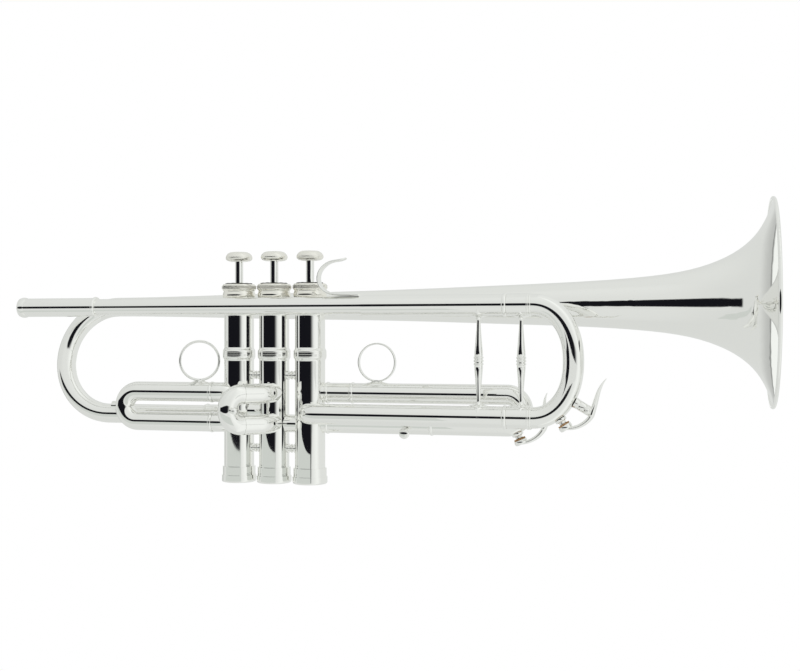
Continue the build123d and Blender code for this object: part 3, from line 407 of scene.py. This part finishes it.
# ---- Thumb and finger rings ---------------------------------------------------------------------
# Rings of rounded silver wire. The thumb ring stands turned on the first slide's upper tube, and
# the finger ring on a little waisted foot over the third slide's upper tube.
leg_radius = 6.3 * millimetre
upper_leg_z = -55.0 * millimetre
thumb_turn = radians(28.0)
thumb_radius, thumb_drop = 12.9 * millimetre, 13.5 * millimetre
thumb_centre = centre_of("first_thumb_ring")
thumb_centre.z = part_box("first_thumb_ring")[1].z - thumb_drop
thumb_side = Vector((cos(thumb_turn), sin(thumb_turn), 0))
thumb_axis = Vector((-sin(thumb_turn), cos(thumb_turn), 0))
ring_steps = 128


def hoop(name, centre, side, axis, radius, section):
    """A closed upright ring of wire, turned so that side lies in its plane and axis runs through it."""
    rings = []
    for step in range(ring_steps):
        angle = 2 * pi * step / ring_steps
        out = side * cos(angle) + Vector((0, 0, 1)) * sin(angle)
        rings.append([centre + out * (radius + b) + axis * a for a, b in section])
    return skin(name, rings, loop=True)


thumb_hoop = hoop(
    "thumb_ring_hoop", thumb_centre, thumb_side, thumb_axis, thumb_radius - 0.0004, oval(0.0044, 0.0017)
)
finish_piece(thumb_hoop, silver, "first_slide", ["first_thumb_ring"])

finger_low, finger_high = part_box("third_finger_ring")
finger_radius, finger_drop = (finger_high.x - finger_low.x) / 2 - 0.00045, 12.3 * millimetre
finger_centre = centre_of("third_finger_ring")
finger_centre.z = finger_high.z - finger_drop
east_way, north_way = Vector((1, 0, 0)), Vector((0, 1, 0))
finger_hoop = hoop(
    "finger_ring_hoop", finger_centre, east_way, north_way, finger_radius, oval(0.0039, 0.0011)
)
finish_piece(finger_hoop, silver, "third_slide", ["third_finger_ring"])


def ring_foot(name, centre, top, waist, spread, body, node):
    """A waisted foot that grows out of a slide's upper tube and ends under a ring, at height top."""
    rings = []
    steps = 18
    for step in range(steps + 1):
        t = step / steps
        flare = (1 - t) ** 3
        wide = waist[0] + (spread[0] - waist[0]) * flare
        deep = waist[1] + (spread[1] - waist[1]) * flare
        ring = []
        for k in range(48):
            angle = 2 * pi * k / 48
            x, y = wide * cos(angle), deep * sin(angle)
            seat = upper_leg_z + sqrt(max(leg_radius ** 2 - y ** 2, 0.0)) - 0.0001
            ring.append(Vector((centre.x + x, centre.y + y, seat + (top - seat) * t)))
        rings.append(ring)
    finish_piece(skin(name, rings), silver, body, [node])


ring_foot(
    "finger_ring_foot",
    finger_centre,
    finger_centre.z - finger_radius + 0.0006,
    (0.0030, 0.0016),
    (0.0088, 0.0049),
    "third_slide",
    "third_finger_ring",
)
ring_foot(
    "thumb_ring_foot",
    thumb_centre,
    thumb_centre.z - thumb_radius + 0.0009,
    (0.0026, 0.0020),
    (0.0068, 0.0043),
    "first_slide",
    "first_thumb_ring",
)

# ---- Tuning slide bow ---------------------------------------------------------------------------
# One drawn tube bent into a soft D, its ends held in the two ferrules. Its curve eases in and out
# of the straight tubes, so that reflections run round it without a break.
bow_low, bow_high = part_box("tuning_crook")
bow_radius = (bow_high.y - bow_low.y) / 2
ferrule_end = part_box("tuning_ferrules")[1].x
bow_top, bow_bottom = bow_high.z - bow_radius, bow_low.z + bow_radius
bow_mid, bow_half = (bow_top + bow_bottom) / 2, (bow_top - bow_bottom) / 2
bow_reach = bow_high.x - bow_radius - ferrule_end
bow_power = 2 / 2.17                 # 1 would be an ellipse, less is squarer
bow_points = [Vector((bow_low.x, 0, bow_top)), Vector(((bow_low.x + ferrule_end) / 2, 0, bow_top))]
bow_steps = 150
for step in range(bow_steps + 1):
    angle = pi / 2 - pi * step / bow_steps
    c, v = cos(angle), sin(angle)
    x = ferrule_end + bow_reach * max(c, 0.0) ** bow_power
    z = bow_mid + bow_half * abs(v) ** bow_power * (1 if v > 0 else -1)
    bow_points.append(Vector((x, 0, z)))
bow_points += [Vector(((bow_low.x + ferrule_end) / 2, 0, bow_bottom)), Vector((bow_low.x, 0, bow_bottom))]


def round_section(radius, steps=72):
    """The outline of round tube or wire, in metres."""
    spots = [2 * pi * k / steps for k in range(steps)]
    return [(radius * cos(angle), radius * sin(angle)) for angle in spots]


bow_section = round_section(bow_radius - 0.00002)
tuning_bow = along_route("tuning_bow", bow_points, north_way, lambda t: bow_section)
finish_piece(tuning_bow, silver, "tuning_slide", ["tuning_crook"])

# ---- Pistons, springs, guides and felts ---------------------------------------------------------
# What shows when a valve is pulled or pressed: pistons lapped from nickel-copper alloy, music-wire
# springs, moulded guides and pressed black felt. The cap felts' cut edges stay a little ragged.
monel = metal("monel", (0.62, 0.60, 0.56, 1), 0.16)
spring_steel = metal("spring_steel", (0.55, 0.55, 0.55, 1), 0.22)
coat([f"piston_{number}" for number in (1, 2, 3)], monel)
coat([f"valve_spring_{number}" for number in (1, 2, 3)], spring_steel)
spring_turns, spring_wire = 7, 0.45 * millimetre
spring_steps = 32
wire_section = round_section(spring_wire, 12)
for number in (1, 2, 3):
    low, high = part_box(f"valve_spring_{number}")
    middle, length = (low + high) / 2, high.z - low.z
    coil_radius = (high.x - low.x) / 2 - spring_wire
    coil = []
    for step in range(spring_turns * spring_steps + 1):
        angle = 2 * pi * step / spring_steps
        share = step / (spring_turns * spring_steps)
        z = low.z + spring_wire + share * (length - 2 * spring_wire)
        coil.append(Vector((middle.x + coil_radius * cos(angle), middle.y + coil_radius * sin(angle), z)))
    spring = along_route(f"valve_spring_coil_{number}", coil, (0, 0, 1), lambda t: wire_section)
    finish_piece(spring, spring_steel, "horn", [f"valve_spring_{number}"])
    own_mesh(spring)


def soft_material(name, dark, light, scale, roughness, relief):
    """A dull material with a fine mottled grain and a matching relief, in metres."""
    made = bpy.data.materials.new(name)
    made.use_nodes = True
    tree = made.node_tree
    shader = tree.nodes["Principled BSDF"]
    wire = Wire(tree)
    place = wire.node("ShaderNodeTexCoord", output="Object")
    grain = wire.node("ShaderNodeTexNoise", inputs={"Vector": place, "Scale": scale, "Detail": 5.0})
    tone = wire.node("ShaderNodeValToRGB", {"stops": [(0.3, dark), (0.7, light)]}, {"Fac": grain})
    bump = wire.node("ShaderNodeBump", inputs={"Height": grain, "Strength": 0.8, "Distance": relief})
    tree.links.new(tone.socket, shader.inputs["Base Color"])
    tree.links.new(bump.socket, shader.inputs["Normal"])
    shader.inputs["Roughness"].default_value = roughness
    return made


felt = soft_material("felt", (0.008, 0.008, 0.010, 1), (0.050, 0.048, 0.050, 1), 2600.0, 0.95, 0.00025)
guide_plastic = soft_material(
    "guide_plastic", (0.74, 0.72, 0.65, 1), (0.82, 0.80, 0.73, 1), 400.0, 0.45, 0.00002
)
coat(["valve_guides"], guide_plastic)
coat(["cap_felts"] + [f"stop_felt_{number}" for number in (1, 2, 3)], felt)
felt_low, felt_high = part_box("cap_felts")
felt_steps = 150
for number in (1, 2, 3):
    middle = centre_of(f"valve_casing_{number}")
    rings = []
    for step in range(felt_steps):
        angle = 2 * pi * step / felt_steps
        ragged = 0.20 * sin(7 * angle + number) + 0.14 * sin(19 * angle + 2 * number) + 0.08 * sin(41 * angle)
        out = Vector((cos(angle), sin(angle), 0))
        edge = (8.55 + ragged) * millimetre
        lift = 0.07 * (1 + sin(11 * angle + number)) * millimetre
        section = [
            (3.05 * millimetre, felt_low.z),
            (edge - 0.0003, felt_low.z),
            (edge, felt_low.z + 0.0003),
            (edge - 0.0003, felt_high.z + lift),
            (3.05 * millimetre, felt_high.z + lift / 2),
        ]
        rings.append([Vector((middle.x, middle.y, z)) + out * r for r, z in section])
    washer = skin(f"cap_felt_{number}", rings, loop=True, crease=70)
    finish_piece(washer, felt, "horn", ["cap_felts"])

# ---- Buttons ------------------------------------------------------------------------------------
# Turned buttons, widest low down, with a flat domed top, plated like the caps and warmed a little
# by years of fingers.
warm_silver = metal("warm_silver", (0.93, 0.915, 0.86, 1), 0.10, 0.05)
satin_silver = metal("satin_silver", (0.93, 0.915, 0.86, 1), 0.34)
button_profile = [
    (0.00, 0.00),
    (0.00, 4.60),
    (0.10, 5.60),
    (0.45, 7.10),
    (1.00, 8.05),
    (1.70, 8.55),
    (2.50, 8.68),
    (3.30, 8.50),
    (4.20, 8.00),
    (5.00, 7.30),
    (5.60, 6.50),
    (5.95, 5.70),
    (6.10, 4.90),
    (6.00, 4.20),
    (6.10, 2.60),
    (6.15, 0.00),
]
for number in (1, 2, 3):
    low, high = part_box(f"button_{number}")
    seat = Vector(((low.x + high.x) / 2, (low.y + high.y) / 2, low.z))
    button = lathe(f"button_turned_{number}", seat, (0, 0, 1), button_profile, segments=96, crease=45)
    finish_piece(button, satin_silver, f"valve_{number}", [f"button_{number}"])

# ---- Top caps -----------------------------------------------------------------------------------
# Screwed caps turned from bar, with a barrelled skirt, a groove and a rim whose edge is knurled.
ridge_count = 96
ridge_radius = 0.36 * millimetre


def knurl(name, centre, radius, height, count, thickness):
    """A ring of upright rounded ridges, laid out by Geometry Nodes and made a plain mesh."""
    tree = bpy.data.node_groups.new(name + "_tree", "GeometryNodeTree")
    tree.interface.new_socket("Geometry", in_out="OUTPUT", socket_type="NodeSocketGeometry")
    sockets = {}
    sizes = (("Radius", radius), ("Height", height), ("Thickness", thickness))
    for label, value in sizes:
        made = tree.interface.new_socket(label, in_out="INPUT", socket_type="NodeSocketFloat")
        made.default_value = value
        sockets[label] = made
    number = tree.interface.new_socket("Count", in_out="INPUT", socket_type="NodeSocketInt")
    number.default_value = count
    wire = Wire(tree)
    entry = tree.nodes.new("NodeGroupInput")
    radius_in, height_in, thick_in, count_in = (Wire(tree, entry.outputs[k]) for k in range(4))
    circle = wire.node("GeometryNodeMeshCircle", inputs={"Vertices": count_in, "Radius": radius_in})
    ridge = wire.node(
        "GeometryNodeMeshCylinder",
        inputs={"Vertices": 8, "Radius": thick_in, "Depth": height_in},
    )
    laid = wire.node("GeometryNodeInstanceOnPoints", inputs={"Points": circle, "Instance": ridge})
    real = wire.node("GeometryNodeRealizeInstances", inputs={0: laid})
    coated = wire.node("GeometryNodeSetMaterial", inputs={"Geometry": real, "Material": satin_silver})
    leave = tree.nodes.new("NodeGroupOutput")
    tree.links.new(coated.socket, leave.inputs[0])
    holder = bpy.data.objects.new(name, bpy.data.meshes.new(name))
    scene.collection.objects.link(holder)
    modifier = holder.modifiers.new("knurl", "NODES")
    modifier.node_group = tree
    for label, value in sizes:
        modifier[sockets[label].identifier] = value
    modifier[number.identifier] = count
    bpy.context.view_layer.update()
    flat = bpy.data.meshes.new_from_object(holder.evaluated_get(bpy.context.evaluated_depsgraph_get()))
    holder.modifiers.clear()
    holder.data = flat
    flat.transform(Matrix.Translation(centre))
    flat.shade_smooth()
    flat.set_sharp_from_angle(angle=radians(50))
    return holder


cap_profile = [
    (0.00, 10.15),
    (0.35, 10.36),
    (1.10, 10.58),
    (1.90, 10.66),
    (2.70, 10.60),
    (3.45, 10.38),
    (3.85, 10.14),
    (4.25, 10.06),
    (4.70, 10.14),
    (5.10, 10.50),
    (5.45, 10.72),
    (5.80, 10.78),
    (8.00, 10.78),
    (8.45, 10.66),
    (8.80, 10.36),
    (9.02, 9.90),
    (9.10, 9.30),
    (9.10, 3.05),
    (6.40, 3.05),
    (6.40, 9.75),
    (0.00, 9.75),
]
for number in (1, 2, 3):
    low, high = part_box(f"top_cap_{number}")
    middle = Vector(((low.x + high.x) / 2, (low.y + high.y) / 2, low.z))
    cap = lathe(f"top_cap_turned_{number}", middle, (0, 0, 1), cap_profile, segments=160, crease=60)
    finish_piece(cap, warm_silver, "horn", [f"top_cap_{number}"])
    rim_z = low.z + (5.95 + 7.85) / 2 * millimetre
    ridges = knurl(
        f"top_cap_knurl_{number}",
        Vector((middle.x, middle.y, rim_z)),
        10.75 * millimetre,
        1.9 * millimetre,
        ridge_count,
        ridge_radius,
    )
    finish_piece(ridges, satin_silver, "horn", [f"top_cap_{number}"])

# ---- Valve bands --------------------------------------------------------------------------------
# A raised band round each casing where its two halves are joined, turned with soft shoulders and
# three fine lines.
band_rise = [
    (0.00, 9.71),
    (0.60, 9.78),
    (1.15, 9.98),
    (1.60, 10.27),
    (2.00, 10.47),
    (2.50, 10.56),
    (3.00, 10.57),
    (3.12, 10.47),
    (3.24, 10.57),
]
band_length = 8.6
band_middle_z = -30.45 * millimetre
band_profile = band_rise + [
    (band_length / 2 - 0.12, 10.60),
    (band_length / 2, 10.50),
    (band_length / 2 + 0.12, 10.60),
]
band_profile += [(band_length - along, radius) for along, radius in reversed(band_rise)]
band_profile += [(band_length, 9.60), (0.0, 9.60)]
for number in (1, 2, 3):
    start = centre_of(f"valve_casing_{number}")
    start.z = band_middle_z - band_length / 2 * millimetre
    ring = lathe(f"valve_band_{number}", start, (0, 0, 1), band_profile, segments=160, crease=35)
    ring.data.materials.clear()
    ring.data.materials.append(silver)
    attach(ring, "horn")

# ---- Slide braces -------------------------------------------------------------------------------
# Two turned pillars, one between the fixed sleeves and one between the slide's ferrules, slim at
# the ends and fuller at three beads, each on a pair of pointed feet that wrap the tubes.
post_half_length = 26.0
post_half = [
    (0.0, 1.25),
    (2.0, 1.15),
    (4.0, 1.20),
    (8.0, 1.42),
    (16.0, 2.12),
    (20.0, 2.48),
    (22.0, 2.60),
    (23.2, 2.62),
    (23.35, 2.45),
    (23.5, 2.45),
    (23.65, 2.80),
    (23.95, 3.02),
    (24.35, 3.02),
    (24.65, 2.80),
    (24.8, 2.55),
]


def pointed_foot(name, x, tube_z, tube_radius, up, width, body, node):
    """A four-pointed foot with hollow sides, wrapped on a tube along X and rising to the pillar."""
    rings = []
    steps = 20
    for step in range(steps + 1):
        t = step / steps
        ring = []
        for k in range(64):
            angle = 2 * pi * k / 64
            c, v = abs(cos(angle)), abs(sin(angle))
            star = (c ** 0.8 + v ** 0.8) ** (-1 / 0.8)
            reach_out = star * width * (1 - t) ** 2.2 + 0.00125 * (1 - (1 - t) ** 2.2)
            dx, dy = reach_out * cos(angle), reach_out * sin(angle)
            seat = sqrt(max(tube_radius ** 2 - dy ** 2, 0.0))
            lift = 0.0003 * min(t * 12, 1.0) + 0.0030 * t ** 1.5
            ring.append(Vector((x + dx, dy, tube_z + up * (seat + lift))))
        rings.append(ring)
    finish_piece(skin(name, rings), silver, body, [node])


sleeve_radius, ferrule_radius = 6.5 * millimetre, 6.8 * millimetre
for node, body, tube_radius, foot_width in (
    ("sleeve_brace", "horn", sleeve_radius, 6.6 * millimetre),
    ("tuning_brace", "tuning_slide", ferrule_radius, 5.8 * millimetre),
):
    low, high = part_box(node)
    x = (low.x + high.x) / 2
    top_z, bottom_z = 0.0, bow_bottom
    span = (top_z - bottom_z - 2 * tube_radius) / millimetre
    stretch = span / 2 / post_half_length
    half = [(along * stretch, radius) for along, radius in post_half]
    whole = [(0.0, 0.0)] + half + [(span / 2 - 0.75, 2.5), (span / 2 - 0.45, 2.95), (span / 2, 3.05)]
    mirrored = [(span - along, radius) for along, radius in reversed(whole[:-1])]
    pillar = lathe(
        f"{node}_pillar",
        Vector((x, 0, bottom_z + tube_radius)),
        (0, 0, 1),
        whole + mirrored,
        segments=64,
        crease=50,
    )
    finish_piece(pillar, silver, body, [node])
    pointed_foot(f"{node}_foot_top", x, top_z, tube_radius, -1, foot_width, body, node)
    pointed_foot(f"{node}_foot_bottom", x, bottom_z, tube_radius, 1, foot_width, body, node)

# ---- Stop screw ---------------------------------------------------------------------------------
# A small thumb screw on the third slide's lower collar, with a domed head and a beaded edge.
screw_centre = centre_of("third_stop_screw")
screw_centre.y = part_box("third_stop_screw")[0].y
screw_profile = [
    (0.00, 0.0),
    (0.05, 0.9),
    (0.25, 1.9),
    (0.60, 2.7),
    (0.95, 3.15),
    (1.35, 3.35),
    (1.75, 3.20),
    (2.05, 2.70),
    (2.20, 2.00),
    (2.30, 1.60),
    (9.40, 1.60),
    (9.40, 0.0),
]
screw = lathe("stop_screw_turned", screw_centre, (0, 1, 0), screw_profile, segments=64, crease=60)
finish_piece(screw, silver, "horn", ["third_stop_screw"])

# ---- Water keys ---------------------------------------------------------------------------------
# Sprung levers on the two lowest bends: a post with a cross pin, a leaf-shaped finger piece that
# runs to a point, and a cup that holds a cork against the drain nipple.
cork = bpy.data.materials.new("cork")
cork.use_nodes = True
cork_tree = cork.node_tree
cork_shader = cork_tree.nodes["Principled BSDF"]
cork_wire = Wire(cork_tree)
cork_place = cork_wire.node("ShaderNodeTexCoord", output="Object")
grain = cork_wire.node("ShaderNodeTexVoronoi", inputs={"Vector": cork_place, "Scale": 1500.0}, output=0)
cork_colour = cork_wire.node(
    "ShaderNodeValToRGB",
    {"stops": [(0.0, (0.23, 0.105, 0.03, 1)), (0.45, (0.46, 0.25, 0.10, 1)), (1.0, (0.62, 0.40, 0.20, 1))]},
    {"Fac": grain},
)
cork_tree.links.new(cork_colour.socket, cork_shader.inputs["Base Color"])
cork_shader.inputs["Roughness"].default_value = 0.75
joint_by_name = {joint["name"]: joint for joint in frame["joints"]}
half_cork = 1.2 * millimetre
nipple_profile = [
    (0.0, 1.35),
    (0.0, 2.0),
    (0.25, 2.3),
    (0.7, 2.3),
    (0.9, 2.15),
    (1.5, 2.15),
    (1.8, 3.3),
    (2.2, 3.6),
    (3.4, 3.6),
    (3.4, 1.35),
]
cup_profile = [
    (0.0, 0.0),
    (0.0, 2.6),
    (0.12, 3.3),
    (0.45, 3.85),
    (0.9, 4.05),
    (2.85, 4.08),
    (2.95, 3.98),
    (2.95, 3.63),
    (1.55, 3.63),
    (1.55, 0.0),
]
cup_floor = 1.55 * millimetre
hinge_end = [(0.0, 0.0), (0.1, 0.7), (0.5, 1.3), (0.9, 1.5), (1.1, 1.5), (1.2, 2.0), (1.5, 2.25)]
hinge_length = 10.0


def key_pieces(name, body, base_body, out_angle, tip, elbow, blade_width, tube_point):
    """Makes a key's nipple, cup, post, hinge and leaf. The leaf runs from the cup, over the elbow and
    the pin, to its tip. The post stands on the tube at tube_point."""
    cork_node = f"{name}_cork"
    cork_centre = centre_of(cork_node)
    pin = Vector(joint_by_name[f"{name}_press"]["pos_m"])
    pin.y = cork_centre.y
    out = Vector((sin(radians(out_angle)), 0, -cos(radians(out_angle))))
    coat([cork_node], cork)
    nipple = lathe(
        f"{name}_nipple",
        cork_centre - out * (half_cork + 0.00005),
        -out,
        nipple_profile,
        segments=48,
    )
    finish_piece(nipple, silver, base_body, [f"{name}_saddle"])
    cup_back = cork_centre + out * (half_cork + cup_floor)
    cup = lathe(f"{name}_cup", cup_back, -out, cup_profile, segments=64, crease=50)
    finish_piece(cup, silver, body, [f"{name}_lever"])
    post_way = (tube_point - pin).normalized()
    post_length = (tube_point - pin).length / millimetre
    post = lathe(
        f"{name}_post",
        pin,
        post_way,
        [
            (-3.0, 0.0),
            (-2.9, 1.3),
            (-2.5, 2.0),
            (-1.6, 2.75),
            (-0.8, 2.95),
            (1.4, 2.95),
            (1.7, 2.75),
            (2.0, 2.95),
            (post_length - 2.4, 3.0),
            (post_length - 2.1, 2.75),
            (post_length - 1.8, 3.0),
            (post_length - 0.3, 3.1),
            (post_length + 0.9, 3.35),
            (post_length + 0.9, 0.0),
        ],
        segments=56,
        crease=50,
    )
    finish_piece(post, silver, base_body, [f"{name}_saddle"])
    hinge_far = [(hinge_length - along, radius) for along, radius in reversed(hinge_end)]
    hinge = lathe(
        f"{name}_hinge",
        pin - north_way * (hinge_length / 2 * millimetre),
        north_way,
        hinge_end + hinge_far,
        segments=56,
        crease=50,
    )
    finish_piece(hinge, silver, body, [f"{name}_lever"])
    away = (pin - tube_point).normalized()
    lever_route = smooth_route(
        [
            cup_back - out * 0.0009,
            cup_back + (elbow - cup_back) * 0.35 + out * 0.0004,
            elbow + (elbow - pin) * 0.05,
            pin + away * 0.0032 + (elbow - pin) * 0.30,
            pin + away * 0.0030,
            pin + away * 0.0008 + (tip - pin) * 0.40,
            tip - (tip - pin) * 0.25 - away * 0.0010,
            tip,
        ],
        80,
    )

    def leaf(t):
        """The leaf's outline at a share t of its length, widest and thickest at its waist."""
        waist = 0.42
        if t < waist:
            wide, deep = blade_width * (0.62 + 0.7 * t), 0.0019 + 0.0014 * t / waist
        else:
            u = (t - waist) / (1 - waist)
            wide = blade_width * max(1 - u ** 2.4, 0.03)
            deep = 0.0033 + 0.0006 * sin(pi * u) - 0.0029 * u ** 1.3
        return oval(wide, deep, 24)

    lever = along_route(f"{name}_leaf", lever_route, (0, 1, 0), leaf)
    finish_piece(lever, silver, body, [f"{name}_lever"])


def foot_of_post(pin, corner, radius):
    """Where a post meets its tube: on the line from the pin to the bend's corner, radius short of it."""
    return pin + (corner - pin).normalized() * ((corner - pin).length - radius)


main_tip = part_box("main_water_key_lever")[1]
main_pin = Vector(joint_by_name["main_water_key_press"]["pos_m"])
main_corner_lift = 24.5 * millimetre
main_corner_radius = 30.5 * millimetre
key_pieces(
    "main_water_key",
    "main_water_key",
    "tuning_slide",
    34.0,
    Vector((main_tip.x - 0.0006, 0, main_tip.z - 0.0002)),
    Vector((main_pin.x - 0.0031, 0, main_pin.z - 0.0086)),
    8.0 * millimetre,
    foot_of_post(main_pin, Vector((ferrule_end, 0, bow_bottom + main_corner_lift)), main_corner_radius),
)
third_low, third_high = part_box("third_slide_crook")
third_y = centre_of("third_slide_crook").y
third_bend = 9.65 * millimetre
third_corner = Vector((third_high.x - leg_radius - third_bend, third_y, (third_low.z + third_high.z) / 2))
third_corner_radius = 15.5 * millimetre
third_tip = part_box("third_water_key_lever")[1]
third_pin = Vector(joint_by_name["third_water_key_press"]["pos_m"])
key_pieces(
    "third_water_key",
    "third_water_key",
    "third_slide",
    24.0,
    Vector((third_tip.x - 0.0006, third_y, third_tip.z - 0.0002)),
    Vector((third_pin.x - 0.0011, third_y, third_pin.z - 0.0094)),
    7.0 * millimetre,
    foot_of_post(third_pin, third_corner, third_corner_radius),
)
